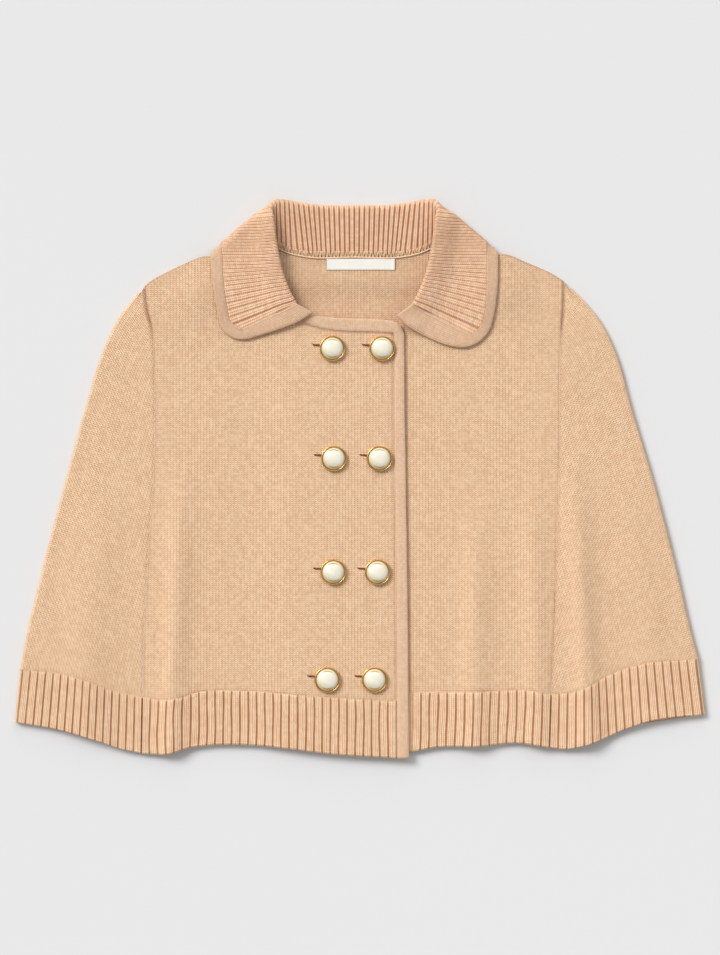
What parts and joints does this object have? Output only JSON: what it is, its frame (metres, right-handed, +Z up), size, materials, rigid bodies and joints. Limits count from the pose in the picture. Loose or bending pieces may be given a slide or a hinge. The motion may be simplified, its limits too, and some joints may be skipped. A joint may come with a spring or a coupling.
{
  "type": "knitted capelet laid flat",
  "caption": "Short double-breasted knitted capelet laid flat and buttoned, with a turned-down ribbed collar, a deep ribbed hem and domed buttons in metal rims.",
  "frame": {"origin": "middle of the garment's box, on the surface that it lies on", "axes": "+X across the garment from the wearer's right to the left, +Y from the hem to the collar, +Z up from the surface"},
  "size_m": [0.6064, 0.4914, 0.0199],
  "materials": {
    "knit": "matt camel-beige plain knit",
    "rib_knit": "matt camel-beige flat rib",
    "collar_rib": "matt camel-beige fine rib",
    "band_knit": "matt camel-beige double knit band",
    "label_satin": "off-white woven satin, bare",
    "gold": "polished gold-coloured metal",
    "pearl": "glossy ivory pearl"
  },
  "bodies": {
    "root": {"back_panel": "knit", "back_hem_rib": "rib_knit", "right_front_panel": "knit", "right_front_hem_rib": "rib_knit", "left_front_panel": "knit", "left_front_hem_rib": "rib_knit", "right_side_panel": "knit", "right_side_hem_rib": "rib_knit", "left_side_panel": "knit", "left_side_hem_rib": "rib_knit", "front_band": "band_knit", "collar": "collar_rib", "collar_trim": "band_knit", "neck_label": "label_satin", "button_right_1_rim": "gold", "button_right_1_pearl": "pearl", "button_left_1_rim": "gold", "button_left_1_pearl": "pearl", "button_right_2_rim": "gold", "button_right_2_pearl": "pearl", "button_left_2_rim": "gold", "button_left_2_pearl": "pearl", "button_right_3_rim": "gold", "button_right_3_pearl": "pearl", "button_left_3_rim": "gold", "button_left_3_pearl": "pearl", "button_right_4_rim": "gold", "button_right_4_pearl": "pearl", "button_left_4_rim": "gold", "button_left_4_pearl": "pearl"}
  },
  "joints": []
}
